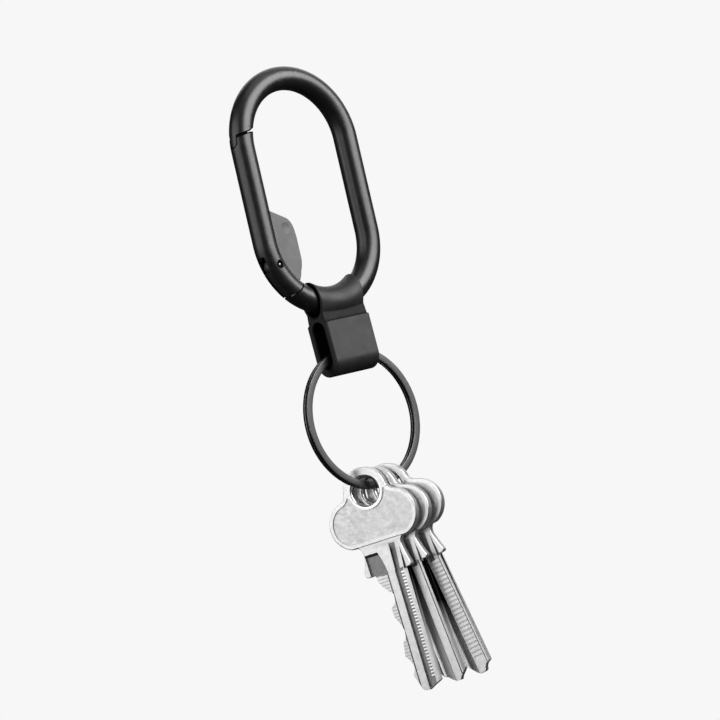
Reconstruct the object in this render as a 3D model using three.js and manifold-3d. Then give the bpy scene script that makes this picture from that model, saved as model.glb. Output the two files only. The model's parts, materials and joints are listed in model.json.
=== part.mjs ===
// Key organiser: an oval carabiner with a sprung gate, a soft keeper loop, a split ring and three keys.
// Millimetres, +Z up, +X across the carabiner, -Y to the front.
// The origin is where the organiser hangs: the middle of the inner top of the carabiner.
import * as THREE from 'three';
import { mergeVertices } from 'three/addons/utils/BufferGeometryUtils.js';
import Module from 'manifold-3d';

const wasm = await Module();
wasm.setup();

// ---- Driving dimensions ----
const ROD_R = 3;
const BEND_R = 16.85; // centreline radius of both end bends
const STRAIGHT = 23.9; // straight length of each side
const GAP = 0.3; // clearance between pieces that meet
const FIT_GAP = 0.15; // clearance of small fitted pieces

const PIN_BELOW_BEND = rad(20.4); // angle of the hinge pin round the lower bend, from its start
const PIN_R = 0.8;
const PIN_HALF = 2.8;
const GATE_END_R = 8.3; // the gate's lower end is round, about the pin
const LUG_R = 2.2;
const LUG_HALF = 1.1;
const LUG_FLAT = 1.75; // height of the flat that the plunger rests on, above the pin
const NECK_IN = 17.9; // the lug's neck lies between these radii of the lower bend
const NECK_OUT = 19.2;
const SLOT_HALF = 1.4;

const NOSE_ABOVE_BEND = rad(14); // angle of the nose split round the upper bend, from its start
const NOSE_SLOPE = 0.176; // rise of the nose split towards the inside
const NOSE_GAP = 0.3;
const LATCH_WIDTH = 3;
const LATCH_LENGTH = 3.2;
const LATCH_DEPTH = 4.6; // thickness of the latch tongue, from the rod's outer side

const BORE_X = -16.55; // axis of the spring bore, beside the gate's own axis
const BORE_R = 1.3;
const PLUNGER_LENGTH = 2.6;
const SPRING_LENGTH = 9;
const SPRING_COIL_R = 0.85;
const SPRING_WIRE_R = 0.17;
const SPRING_TURNS = 8;

const TAB_HALF = 0.85;
const TAB_X = -6.9; // inner edge of the thumb tab

const KEEPER_LEAN = rad(2.3); // the keeper hangs this far round the lower bend
const KEEPER_HALF = 7.2;
const SADDLE_R = 4;
const KEEPER_SIDE = 3.95;
const KEEPER_CREASE = 21.4; // depths below the lower bend's centre
const KEEPER_BOTTOM = 35.3;
const RING_SLOT_R = 2.1;
const RING_SLOT_TOP = 21.4;
const RING_SLOT_BOTTOM = 33;

const RING_R = 16.97; // centreline radius of the ring's wire
const RING_WIDTH = 1.7;
const RING_TURN = 0.9; // thickness of each of its two turns
const RING_STEP = 0.98; // spacing of the turns
const RING_X = 1.23;
const RING_DROP = 46.7; // ring's centre below the lower bend's centre
const RING_CROSSOVER = rad(13);

const KEY_TURN = rad(63.3); // how far the keys' faces turn from the front towards -X
const KEY_HANG = 1.4; // hole's centre below the wire's centre
const KEY_HOLE_R = 3.45;
const BOW_HALF = 1.15;
const KEYS = [
  { x: -2.97, swing: rad(3.8), cuts: [4.9, 1.6, 4.4, 3.2, 3] },
  { x: 0.4, swing: rad(9.0), cuts: [3.2, 4.4, 2.4, 4.6, 3.4] },
  { x: 4.35, swing: rad(13.0), cuts: [4.2, 2.8, 4.6, 1.8, 3.8] },
];

const BLACK = { color: 0x1b1b1c, roughness: 0.38, metalness: 0.6 };
const TAB_GREY = { color: 0x808182, roughness: 0.5, metalness: 0.5 };
const SOFT_GREY = { color: 0x3a3a3b, roughness: 0.8, metalness: 0 };
const NICKEL = { color: 0xcfcfcf, roughness: 0.3, metalness: 1 };
const STEEL = { color: 0x9a9a9c, roughness: 0.35, metalness: 1 };

// ---- Places worked out from them ----
const BEND_LENGTH = (BEND_R * Math.PI) / 2;
const LAP = 2 * STRAIGHT + 4 * BEND_LENGTH;
const LOW = new THREE.Vector2(0, -STRAIGHT / 2); // centre of the lower bend, in x and z
const PIN = new THREE.Vector2(
  LOW.x - BEND_R * Math.cos(PIN_BELOW_BEND),
  LOW.y - BEND_R * Math.sin(PIN_BELOW_BEND),
);
const NOSE = new THREE.Vector2(
  -BEND_R * Math.cos(NOSE_ABOVE_BEND),
  STRAIGHT / 2 + BEND_R * Math.sin(NOSE_ABOVE_BEND),
);
const AT_PIN = -(BEND_LENGTH + STRAIGHT + PIN_BELOW_BEND * BEND_R);
const AT_NOSE = -(BEND_LENGTH - NOSE_ABOVE_BEND * BEND_R);
const INNER_TOP = STRAIGHT / 2 + BEND_R - ROD_R;
const RING_Z = LOW.y - RING_DROP;

function rad(degrees) {
  return (degrees * Math.PI) / 180;
}

// ---- Solids ----
function solid(geometry) {
  const bare = geometry.clone();
  bare.deleteAttribute('normal');
  bare.deleteAttribute('uv');
  const merged = mergeVertices(bare, 1e-5);
  return new wasm.Manifold(
    new wasm.Mesh({
      numProp: 3,
      vertProperties: new Float32Array(merged.attributes.position.array),
      triVerts: new Uint32Array(merged.index.array),
    }),
  );
}

function geometryOf(body) {
  const mesh = body.getMesh();
  const geometry = new THREE.BufferGeometry();
  geometry.setAttribute('position', new THREE.BufferAttribute(mesh.vertProperties, mesh.numProp));
  geometry.setIndex(new THREE.BufferAttribute(mesh.triVerts, 1));
  geometry.computeVertexNormals();
  return geometry;
}

function meshOf(name, body, finish) {
  const geometry = geometryOf(body);
  const mesh = new THREE.Mesh(geometry, new THREE.MeshStandardMaterial(finish));
  mesh.name = name;
  return mesh;
}

const X = new THREE.Vector3(1, 0, 0);
const Y = new THREE.Vector3(0, 1, 0);
const Z = new THREE.Vector3(0, 0, 1);
const ALONG_Y = new THREE.Matrix4().makeBasis(X, Z, Y.clone().negate());
const ALONG_X = new THREE.Matrix4().makeBasis(Y, Z, X);

// A prism of a shape in x and y, along z from z0 to z1.
function prism(shape, z0, z1, curveSegments = 6) {
  const geometry = new THREE.ExtrudeGeometry(shape, {
    depth: z1 - z0,
    bevelEnabled: false,
    curveSegments,
  });
  return geometry.translate(0, 0, z0);
}

// The same for a shape in x and z, centred on y = 0.
function prismY(shape, half, curveSegments) {
  return solid(prism(shape, -half, half, curveSegments).applyMatrix4(ALONG_Y));
}

// The same for a shape in y and z, from x0 to x1.
function prismX(shape, x0, x1, curveSegments) {
  return solid(prism(shape, x0, x1, curveSegments).applyMatrix4(ALONG_X));
}

function polygon(points) {
  return new THREE.Shape(points.map(([x, y]) => new THREE.Vector2(x, y)));
}

function disc(x, y, r) {
  return new THREE.Shape().absarc(x, y, r, 0, 2 * Math.PI);
}

// Part of a flat ring: radii r0 to r1 about a centre, angles a0 to a1.
function band(centre, r0, r1, a0, a1) {
  const shape = new THREE.Shape();
  shape.absarc(centre.x, centre.y, r1, a0, a1, false);
  shape.absarc(centre.x, centre.y, r0, a1, a0, true);
  return shape;
}

function lathe(points, segments = 16) {
  const profile = points.map(([r, z]) => new THREE.Vector2(r, z));
  return new THREE.LatheGeometry(profile, segments).rotateX(Math.PI / 2);
}

// A turned piece needs its profile to run from the low end to the high end.
function spindle(points, segments) {
  return solid(lathe(points, segments));
}

// ---- The rod's centreline: distance along it from the middle of the top, clockwise from the front ----
function bendPoint(z, angle) {
  return new THREE.Vector3(BEND_R * Math.cos(angle), 0, z + BEND_R * Math.sin(angle));
}

function rodPoint(distance) {
  let left = ((distance % LAP) + LAP) % LAP;
  if (left < BEND_LENGTH) return bendPoint(STRAIGHT / 2, Math.PI / 2 - left / BEND_R);
  left -= BEND_LENGTH;
  if (left < STRAIGHT) return new THREE.Vector3(BEND_R, 0, STRAIGHT / 2 - left);
  left -= STRAIGHT;
  if (left < 2 * BEND_LENGTH) return bendPoint(-STRAIGHT / 2, -left / BEND_R);
  left -= 2 * BEND_LENGTH;
  if (left < STRAIGHT) return new THREE.Vector3(-BEND_R, 0, left - STRAIGHT / 2);
  left -= STRAIGHT;
  return bendPoint(STRAIGHT / 2, Math.PI - left / BEND_R);
}

class RodLine extends THREE.Curve {
  constructor(from, to) {
    super();
    this.from = from;
    this.to = to;
  }

  getPoint(t) {
    return rodPoint(this.from + (this.to - this.from) * t);
  }
}

function swept(section, path, steps, curveSegments) {
  return new THREE.ExtrudeGeometry(section, { extrudePath: path, steps, curveSegments });
}

function rod(from, to, radius = ROD_R, stepLength = 2.2) {
  const steps = Math.ceil(Math.abs(to - from) / stepLength);
  return solid(swept(disc(0, 0, radius), new RodLine(from, to), steps, 8));
}

// ---- Carabiner ----
// The half plane above or below the nose split, moved down by `lower`.
function noseSide(sign, lower) {
  const far = 14;
  const edge = (x) => NOSE.y + NOSE_SLOPE * (x - NOSE.x) - lower;
  const [outer, inner] = [NOSE.x - 8, NOSE.x + 8];
  return prismY(
    polygon([
      [outer, edge(outer)],
      [inner, edge(inner)],
      [inner, edge(inner) + sign * far],
      [outer, edge(outer) + sign * far],
    ]),
    ROD_R + 1,
  );
}

// Outline of the latch tongue in y and z, grown by `grow`.
function latch(grow) {
  const half = LATCH_WIDTH / 2 + grow;
  const foot = NOSE.y - LATCH_LENGTH + LATCH_WIDTH / 2;
  const shape = new THREE.Shape();
  shape.moveTo(half, NOSE.y + 1);
  shape.lineTo(-half, NOSE.y + 1);
  shape.absarc(0, foot, half, Math.PI, 2 * Math.PI, false);
  return prismX(shape, NOSE.x - ROD_R - 1, -BEND_R - ROD_R + LATCH_DEPTH + grow);
}

function lug() {
  const flat = Math.acos(LUG_FLAT / LUG_R);
  const eye = new THREE.Shape();
  eye.absarc(PIN.x, PIN.y, LUG_R, Math.PI / 2 + flat, Math.PI * 2.5 - flat, false);
  const root = Math.PI + rad(52);
  const neck = band(LOW, NECK_IN, NECK_OUT, Math.PI + PIN_BELOW_BEND + rad(2), root);
  return prismY(eye, LUG_HALF, 8).add(prismY(neck, LUG_HALF, 8));
}

function frameBody() {
  const whole = rod(AT_NOSE - 6, LAP + AT_PIN - 5);
  const hingeRoom = prismY(disc(PIN.x, PIN.y, GATE_END_R + GAP), ROD_R + 1, 16);
  const underNose = noseSide(-1, 0).subtract(latch(0));
  const hole = prismY(disc(PIN.x, PIN.y, PIN_R + FIT_GAP), LUG_HALF + 1, 6);
  return whole.subtract(underNose).subtract(hingeRoom).add(lug()).subtract(hole);
}

// Room in the gate for the lug to turn in, open to the outer side.
function lugRoom() {
  const r = LUG_R + 0.25;
  const sides = [
    [-7, r], [0, r], [1.2, 0.5], [1.9, -1.6], [7.3, -5.45], [7.3, -14], [-7, -14],
  ];
  const opening = polygon(sides.map(([x, z]) => [PIN.x + x, PIN.y + z]));
  return prismY(opening, SLOT_HALF).add(prismY(disc(PIN.x, PIN.y, r), SLOT_HALF, 8));
}

// Outline of the thumb tab in x and z. `root` is how far it goes into the gate.
function tabShape(grow) {
  const inner = -(BEND_R - ROD_R) - 0.4 - grow; // shallow root along the gate's inner side
  const deep = inner - 0.5;
  const end = GATE_END_R - 0.05 + grow;
  const shape = new THREE.Shape();
  shape.moveTo(deep, -11.4 - grow);
  shape.lineTo(deep, -4.7 + grow);
  shape.lineTo(-13.4, -4.15 + grow);
  shape.lineTo(-9.4 + grow, -6.1 + grow);
  shape.quadraticCurveTo(-7.6 + grow, -6.9 + grow, -7.2 + grow, -9);
  shape.quadraticCurveTo(TAB_X + grow, -10.5, TAB_X + grow, -12.5);
  shape.lineTo(TAB_X + grow, -16.4);
  shape.quadraticCurveTo(TAB_X + grow, -18, -7.6 + grow, -19.6);
  shape.absarc(PIN.x, PIN.y, end, rad(-14), rad(-33), true);
  shape.absarc(LOW.x, LOW.y, -inner, Math.PI + rad(44), Math.PI, true);
  shape.lineTo(inner, -11.4 - grow);
  return shape;
}

function gateBody() {
  const whole = rod(AT_PIN - 13, AT_NOSE + 5);
  const round = prismY(disc(PIN.x, PIN.y, GATE_END_R), ROD_R + 2, 16);
  const low = PIN.y - ROD_R;
  const beyond = prismY(polygon([[-20, low], [0, low], [0, low - 14], [-20, low - 14]]), ROD_R + 1);
  const bore = spindle([[0, 0], [BORE_R, 0], [BORE_R, 11.2], [0, 11.8]], 12);
  const pinHole = prismY(disc(PIN.x, PIN.y, PIN_R + FIT_GAP), ROD_R + 1, 6);
  return whole
    .subtract(noseSide(1, NOSE_GAP))
    .subtract(beyond.subtract(round))
    .subtract(latch(GAP))
    .subtract(lugRoom())
    .subtract(bore.translate([BORE_X, 0, PIN.y + 1.6]))
    .subtract(prismY(tabShape(FIT_GAP), TAB_HALF + FIT_GAP))
    .subtract(pinHole);
}

function gateTab() {
  const markR = 1.3;
  const dimple = prismY(disc(-9.7, -8.9, markR), 0.15, 8).translate([0, -TAB_HALF, 0]);
  return prismY(tabShape(0), TAB_HALF).subtract(dimple);
}

function hingePin() {
  const r = PIN_R;
  const pin = lathe([[0, -PIN_HALF], [r - 0.2, -PIN_HALF], [r, -PIN_HALF + 0.2],
    [r, PIN_HALF - 0.2], [r - 0.2, PIN_HALF], [0, PIN_HALF]], 12);
  return solid(pin.rotateX(Math.PI / 2)).translate([PIN.x, 0, PIN.y]);
}

const PLUNGER_FOOT = PIN.y + LUG_FLAT + 0.1;
const PLUNGER_TOP = PLUNGER_FOOT + PLUNGER_LENGTH;

function springPlunger() {
  const r = BORE_R - FIT_GAP;
  const shoulder = PLUNGER_LENGTH - 1;
  const shape = [[0, 0], [r - 0.15, 0], [r, 0.15], [r, shoulder], [0.5, shoulder],
    [0.5, PLUNGER_LENGTH], [0, PLUNGER_LENGTH]];
  return spindle(shape, 12).translate([BORE_X, 0, PLUNGER_FOOT]);
}

class Helix extends THREE.Curve {
  getPoint(t) {
    const angle = SPRING_TURNS * 2 * Math.PI * t;
    const length = SPRING_LENGTH - 2 * SPRING_WIRE_R;
    return new THREE.Vector3(
      SPRING_COIL_R * Math.cos(angle),
      SPRING_COIL_R * Math.sin(angle),
      SPRING_WIRE_R + length * t,
    );
  }
}

function gateSpring() {
  const coil = swept(disc(0, 0, SPRING_WIRE_R), new Helix(), SPRING_TURNS * 10, 2);
  const foot = PLUNGER_TOP - 1 + FIT_GAP;
  return solid(coil.translate(BORE_X, 0, foot));
}

// ---- Keeper loop, upright under the lower bend, which is at the origin here ----
function keeperLoop() {
  const reach = 0.75; // angle of the bend that the saddle is swept over, each way
  const middle = LAP / 2;
  const toOrigin = [0, 0, -LOW.y];
  const saddle = rod(middle - reach * BEND_R, middle + reach * BEND_R, SADDLE_R, 1.4);
  const hole = rod(middle - 1.2 * BEND_R, middle + 1.2 * BEND_R, ROD_R + GAP, 1.4);
  const waist = 18.9;
  const body = new THREE.Shape();
  body.moveTo(2.4, -15.5);
  body.lineTo(3.2, -waist);
  body.quadraticCurveTo(3.3, -waist - 1.2, KEEPER_SIDE, -KEEPER_CREASE);
  body.lineTo(KEEPER_SIDE, -KEEPER_BOTTOM + KEEPER_SIDE);
  body.absarc(0, -KEEPER_BOTTOM + KEEPER_SIDE, KEEPER_SIDE, 0, Math.PI, true);
  body.lineTo(-KEEPER_SIDE, -KEEPER_CREASE);
  body.quadraticCurveTo(-3.3, -waist - 1.2, -3.2, -waist);
  body.lineTo(-2.4, -15.5);
  const slot = new THREE.Shape();
  slot.absarc(0, -RING_SLOT_TOP - RING_SLOT_R, RING_SLOT_R, 0, Math.PI, false);
  slot.absarc(0, -RING_SLOT_BOTTOM + RING_SLOT_R, RING_SLOT_R, Math.PI, 2 * Math.PI, false);
  const ends = prismY(
    polygon([[-KEEPER_HALF, 0], [KEEPER_HALF, 0], [KEEPER_HALF, -40], [-KEEPER_HALF, -40]]),
    8,
  );
  return prismX(body, -KEEPER_HALF, KEEPER_HALF, 8)
    .add(saddle.translate(toOrigin).intersect(ends))
    .subtract(hole.translate(toOrigin))
    .subtract(prismX(slot, -KEEPER_HALF - 1, KEEPER_HALF + 1, 8));
}

// ---- Split ring, about its own centre: two turns that change places at the top ----
class TwoTurns extends THREE.Curve {
  getPoint(t) {
    const travel = RING_CROSSOVER + (4 * Math.PI - 2 * RING_CROSSOVER) * t;
    const across = THREE.MathUtils.smoothstep(
      travel, 2 * Math.PI - RING_CROSSOVER, 2 * Math.PI + RING_CROSSOVER,
    );
    const angle = Math.PI / 2 + travel;
    return new THREE.Vector3(
      RING_R * Math.cos(angle),
      RING_STEP * (across - 0.5),
      RING_R * Math.sin(angle),
    );
  }
}

function splitRing() {
  const [a, b, chamfer] = [RING_TURN / 2, RING_WIDTH / 2, 0.2];
  const section = polygon([
    [a, chamfer - b], [a, b - chamfer], [a - chamfer, b], [chamfer - a, b],
    [-a, b - chamfer], [-a, chamfer - b], [chamfer - a, -b], [a - chamfer, -b],
  ]);
  return solid(swept(section, new TwoTurns(), 104, 1));
}

// ---- Keys: x to the right of the face, y up, z out of the face; the hole's centre is the origin ----
const LOBE_R = 5.76;
const EAR = new THREE.Vector2(5.7, -7.45); // centre of the round end at each side of the bow
const EAR_R = 6.2;
const FILLET_R = 2.3;
const BOW_FOOT = -13.4;
const BLADE_LEFT = -3.9;
const BLADE_RIGHT = 5.1;
const BLADE_TIP = -51.3;
const SHOULDER = -20.3;

// Centre of the circle of radius r that touches the lobe and the right ear from outside.
function filletCentre(lobe, ear, r) {
  const reach = EAR.length();
  const along = ((lobe + r) ** 2 - (ear + r) ** 2 + reach ** 2) / (2 * reach);
  const aside = Math.sqrt((lobe + r) ** 2 - along ** 2);
  const unit = EAR.clone().normalize();
  return new THREE.Vector2(
    unit.x * along - unit.y * aside,
    unit.y * along + unit.x * aside,
  );
}

// The bow's outline, or with `inset` the recessed panel's.
function bowShape(inset) {
  const [lobe, ear, fillet] = [LOBE_R - inset, EAR_R - inset, FILLET_R + inset];
  const c = filletCentre(lobe, ear, fillet);
  const onLobe = Math.atan2(c.y, c.x);
  const onEar = Math.atan2(c.y - EAR.y, c.x - EAR.x);
  const foot = BOW_FOOT + inset;
  const footAngle = Math.asin(Math.max(-1, (foot - EAR.y) / ear));
  const shape = new THREE.Shape();
  shape.absarc(EAR.x, EAR.y, ear, footAngle, onEar, false);
  shape.absarc(c.x, c.y, fillet, onEar + Math.PI, onLobe + Math.PI, true);
  shape.absarc(0, 0, lobe, onLobe, Math.PI - onLobe, false);
  shape.absarc(-c.x, c.y, fillet, -onLobe, -onEar, true);
  shape.absarc(-EAR.x, EAR.y, ear, Math.PI - onEar, Math.PI - footAngle, false);
  return shape;
}

function neckShape() {
  const shape = new THREE.Shape();
  shape.moveTo(-6.9, BOW_FOOT + 0.5);
  shape.quadraticCurveTo(-5.1, BOW_FOOT - 0.3, -5.2, -15.6);
  shape.lineTo(-6.2, SHOULDER + 0.5);
  shape.lineTo(-5.6, SHOULDER);
  shape.lineTo(6.0, SHOULDER);
  shape.lineTo(6.7, SHOULDER + 0.6);
  shape.lineTo(5.5, -15.6);
  shape.quadraticCurveTo(5.3, BOW_FOOT - 0.3, 7.2, BOW_FOOT + 0.5);
  return shape;
}

// The blade seen from its face: cuts along the left edge, and a blunt point.
function bladeShape(cuts) {
  const pitch = 4.6;
  const flat = 1.3;
  const shape = new THREE.Shape();
  shape.moveTo(BLADE_RIGHT, SHOULDER + 2);
  shape.lineTo(BLADE_LEFT, SHOULDER + 2);
  shape.lineTo(BLADE_LEFT, -23.4);
  cuts.forEach((depth, i) => {
    const y = -26.9 - i * pitch;
    shape.lineTo(BLADE_LEFT + depth - 1, y + flat);
    shape.lineTo(BLADE_LEFT + depth - 1, y - flat / 2);
    shape.lineTo(BLADE_LEFT + 1.2, y - pitch / 2);
  });
  shape.lineTo(BLADE_LEFT + 2, -47.4);
  shape.lineTo(0.2, BLADE_TIP + 0.2);
  shape.lineTo(1.4, BLADE_TIP);
  shape.lineTo(BLADE_RIGHT, -49);
  return shape;
}

// The blade's section in x and z, with its grooves.
const BLADE_SECTION = [
  [BLADE_LEFT, -0.45], [-2.6, -1], [-0.6, -1], [-0.3, -0.3], [0.9, -0.3], [1.2, -1], [3.4, -1],
  [BLADE_RIGHT, -0.5], [BLADE_RIGHT, 0.45], [4.3, 1], [3.8, 1], [2.8, 0.3], [1.95, 0.3], [1.75, 1],
  [-0.3, 1], [-0.7, 0.35], [BLADE_LEFT, 0.35],
];

function keyBody(cuts) {
  const depth = 0.3;
  const bow = solid(prism(bowShape(0), -BOW_HALF, BOW_HALF));
  const neck = solid(prism(neckShape(), -BOW_HALF + 0.1, BOW_HALF - 0.1));
  const profile = prism(polygon(BLADE_SECTION), 14, -BLADE_TIP + 1).applyMatrix4(ALONG_Y);
  const blade = solid(profile).intersect(solid(prism(bladeShape(cuts), -2, 2)));
  const rim = solid(prism(disc(0, 0, 4.15), -3, 3, 10));
  const low = solid(prism(polygon([[-13, 0.1], [-13, -20], [13, -20], [13, 0.1]]), -3, 3));
  const panel = solid(prism(bowShape(0.95), 0, 1)).intersect(low).subtract(rim);
  const sunk = [[-5, -14.9], [-5, -21], [-0.3, -21], [-0.3, -19], [-1.4, -14.9]];
  const window = solid(prism(polygon(sunk), 0.35, 2));
  const groove = solid(prism(polygon([[2, -13.5], [2, -21], [3.3, -21], [3.5, -13.5]]), 0.3, 2));
  const hole = solid(prism(disc(0, 0, KEY_HOLE_R), -3, 3, 10));
  return bow
    .add(neck)
    .add(blade)
    .subtract(panel.translate([0, 0, BOW_HALF - depth]))
    .subtract(panel.translate([0, 0, -BOW_HALF + depth - 1]))
    .subtract(window)
    .subtract(groove)
    .subtract(hole);
}

// ---- Assembly ----
const FACE = new THREE.Vector3(-Math.sin(KEY_TURN), -Math.cos(KEY_TURN), 0);
const FACE_RIGHT = new THREE.Vector3(Math.cos(KEY_TURN), -Math.sin(KEY_TURN), 0);
const FACING = new THREE.Matrix4().makeBasis(FACE_RIGHT, Z, FACE);

function hungKey({ x, swing, cuts }, index) {
  const pivot = new THREE.Group();
  pivot.position.set(x, 0, RING_Z - Math.sqrt(RING_R ** 2 - (x - RING_X) ** 2));
  pivot.setRotationFromMatrix(FACING);
  pivot.rotateZ(swing);
  const mesh = meshOf(`key_${index + 1}`, keyBody(cuts), NICKEL);
  mesh.position.set(0, -KEY_HANG, 0);
  pivot.add(mesh);
  return pivot;
}

function hungKeeper() {
  const pivot = new THREE.Group();
  pivot.position.set(LOW.x, 0, LOW.y);
  pivot.rotation.y = -KEEPER_LEAN;
  pivot.add(meshOf('keeper_loop', keeperLoop(), SOFT_GREY));
  return pivot;
}

function hungRing() {
  const mesh = meshOf('split_ring', splitRing(), BLACK);
  mesh.position.set(RING_X, 0, RING_Z);
  return mesh;
}

const organiser = new THREE.Group();
organiser.position.z = -INNER_TOP;
organiser.add(
  meshOf('carabiner_frame', frameBody(), BLACK),
  meshOf('gate', gateBody(), BLACK),
  meshOf('gate_tab', gateTab(), TAB_GREY),
  meshOf('hinge_pin', hingePin(), STEEL),
  meshOf('spring_plunger', springPlunger(), STEEL),
  meshOf('gate_spring', gateSpring(), STEEL),
  hungKeeper(),
  hungRing(),
  ...KEYS.map(hungKey),
);

export default organiser;
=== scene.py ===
"""Looks of the key organiser: a sprung carabiner, its keeper loop, a split ring and three keys."""

import json
import math

import bpy
from mathutils import Matrix, Vector


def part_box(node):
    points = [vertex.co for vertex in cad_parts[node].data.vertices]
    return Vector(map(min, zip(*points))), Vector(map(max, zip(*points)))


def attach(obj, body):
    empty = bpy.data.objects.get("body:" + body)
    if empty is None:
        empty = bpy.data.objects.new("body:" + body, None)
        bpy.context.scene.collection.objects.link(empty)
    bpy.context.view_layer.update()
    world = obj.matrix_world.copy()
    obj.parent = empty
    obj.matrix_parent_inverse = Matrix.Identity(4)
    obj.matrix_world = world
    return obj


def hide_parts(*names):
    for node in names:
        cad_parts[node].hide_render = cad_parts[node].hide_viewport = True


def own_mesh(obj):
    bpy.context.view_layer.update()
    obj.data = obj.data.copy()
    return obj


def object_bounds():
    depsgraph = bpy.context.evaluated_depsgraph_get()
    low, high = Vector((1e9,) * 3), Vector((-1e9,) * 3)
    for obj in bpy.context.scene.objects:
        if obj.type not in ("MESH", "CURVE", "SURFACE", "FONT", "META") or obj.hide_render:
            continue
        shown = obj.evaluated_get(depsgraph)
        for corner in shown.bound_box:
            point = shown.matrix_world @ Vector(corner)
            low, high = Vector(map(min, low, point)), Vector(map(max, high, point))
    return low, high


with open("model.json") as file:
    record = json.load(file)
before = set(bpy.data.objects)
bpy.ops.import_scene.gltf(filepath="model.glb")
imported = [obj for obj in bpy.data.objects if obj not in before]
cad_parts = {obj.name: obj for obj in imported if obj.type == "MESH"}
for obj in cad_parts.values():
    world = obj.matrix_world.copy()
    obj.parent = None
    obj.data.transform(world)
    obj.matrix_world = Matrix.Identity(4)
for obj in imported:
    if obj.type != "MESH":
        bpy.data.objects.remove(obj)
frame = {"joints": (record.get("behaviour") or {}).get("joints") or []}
CAD_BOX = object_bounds()

# Shapes are made in millimetres, in the frame's own axes, and scaled to metres as they are finished.
MM = 0.001
X, Y, Z = Vector((1, 0, 0)), Vector((0, 1, 0)), Vector((0, 0, 1))
JOINTS = {joint["name"]: joint for joint in frame["joints"]}


def pivot(joint):
    return Vector(JOINTS[joint]["pos_m"]) / MM


def node_box(node):
    low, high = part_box(node)
    return low / MM, high / MM


# ---- Dimensions, from the frame where it has them ----
_, ROD_CORNER = node_box("carabiner_frame")
ROD_R = ROD_CORNER.y
BEND_R = ROD_CORNER.x - ROD_R
LOW = pivot("keeper_turn")  # centre of the lower bend
HIGH_Z = ROD_CORNER.z - ROD_R - BEND_R  # height of the upper bend's centre
STRAIGHT = HIGH_Z - LOW.z
PIN = pivot("gate_hinge")

GATE_END_R = 8.3
HINGE_GAP = 0.4
LUG_R = 2.2
LUG_HALF = 1.1
LUG_FLAT = 1.75
NECK = (17.9, 19.2)
SLOT_HALF = 1.4
PIN_R = 0.8

NOSE_ANGLE = math.radians(14)
NOSE_SLOPE = 0.176
NOSE_GAP = 0.2
NOSE_CHAMFER = (0.9, 0.34)  # across the rod's end, and along the rod
LATCH_HALF = 1.22
LATCH_LENGTH = 3.2
LATCH_DEPTH = 4.6

BORE_X = -16.55
BORE_R = 1.3

TAB_HALF = 0.85
TAB_X = -6.9
DIMPLE_R = 1.5
DIMPLE_DEPTH = 0.16

KEEPER_LEAN = math.radians(2.3)
KEEPER_HALF = 7.2
SADDLE_R = 3.97
KEEPER_SIDE = 3.93
WAIST = (3.2, 18.9)  # half thickness, and depth under the bend's centre
CREASE = 21.4
KEEPER_BOTTOM = 35.25
RING_SLOT_R = 2.1
RING_SLOT = (21.4, 33.0)

RING_R = 17.1
RING_YAW = math.radians(-0.5)
RING_SHIFT = 0.1
RING_WIDTH = 1.8
RING_TURN = 0.9
RING_STEP = 0.96

KEY_HANG = 1.4
KEY_HOLE_R = 3.6
KEY_SWINGS = [math.radians(a) for a in (3.8, 9.0, 13.0)]
BOW_HALF = 1.15
BLADE_HALF = 1.0
BLADE_LEFT = -3.9
BLADE_RIGHT = 5.1
MASK_RIGHT = BLADE_RIGHT + 0.4
BLADE_TIP = -51.9


# ---- Mesh helpers ----
def add(name, points, faces):
    mesh = bpy.data.meshes.new(name)
    mesh.from_pydata([tuple(p) for p in points], [], faces)
    mesh.update()
    obj = bpy.data.objects.new(name, mesh)
    bpy.context.scene.collection.objects.link(obj)
    return obj


def loft(name, rings, closed=False):
    """A skin over rings of points, all with the same count, with flat ends unless it's closed."""
    count, size = len(rings), len(rings[0])
    points = [p for ring in rings for p in ring]
    faces = []
    for i in range(count if closed else count - 1):
        a, b = i * size, ((i + 1) % count) * size
        faces += [(a + j, a + (j + 1) % size, b + (j + 1) % size, b + j) for j in range(size)]
    if not closed:
        faces.append(tuple(reversed(range(size))))
        faces.append(tuple(range((count - 1) * size, count * size)))
    obj = add(name, points, faces)
    make_outward(obj)
    return obj


def make_outward(obj):
    """Turns every face out if the body has come out inside out."""
    mesh = obj.data
    volume = 0
    for face in mesh.polygons:
        corners = [mesh.vertices[i].co for i in face.vertices]
        for b, c in zip(corners[1:], corners[2:]):
            volume += corners[0].dot(b.cross(c))
    if volume < 0:
        mesh.flip_normals()


def arc(centre, radius, start, end, steps):
    """Points on an arc, angles in degrees."""
    angles = [math.radians(start + (end - start) * i / steps) for i in range(steps + 1)]
    return [(centre[0] + radius * math.cos(a), centre[1] + radius * math.sin(a)) for a in angles]


def curve(start, control, end, steps):
    """Points on a quadratic curve, without its first one."""
    points = []
    for i in range(1, steps + 1):
        t = i / steps
        weights = ((1 - t) ** 2, 2 * t * (1 - t), t * t)
        points.append(tuple(
            sum(w * p[k] for w, p in zip(weights, (start, control, end))) for k in (0, 1)
        ))
    return points


def offset(outline, distance):
    """The outline moved outwards, or inwards if the distance is negative. It runs anticlockwise."""
    moved, count = [], len(outline)
    for i in range(count):
        before, here, after = (Vector(outline[(i + k) % count]) for k in (-1, 0, 1))
        a, b = (here - before).normalized(), (after - here).normalized()
        normals = Vector((a.y, -a.x)), Vector((b.y, -b.x))
        middle = normals[0] + normals[1]
        if middle.length < 1e-6:
            middle = normals[0].copy()
        middle.normalize()
        moved.append(tuple(here + middle * distance / max(0.5, middle.dot(normals[0]))))
    return moved


def area(outline):
    pairs = zip(outline, outline[1:] + outline[:1])
    return sum(a[0] * b[1] - b[0] * a[1] for a, b in pairs) / 2


def on_xz(x, z, y):
    return Vector((x, y, z))


def on_yz(y, z, x):
    return Vector((x, y, z))


def on_xy(x, y, z):
    return Vector((x, y, z))


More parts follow.
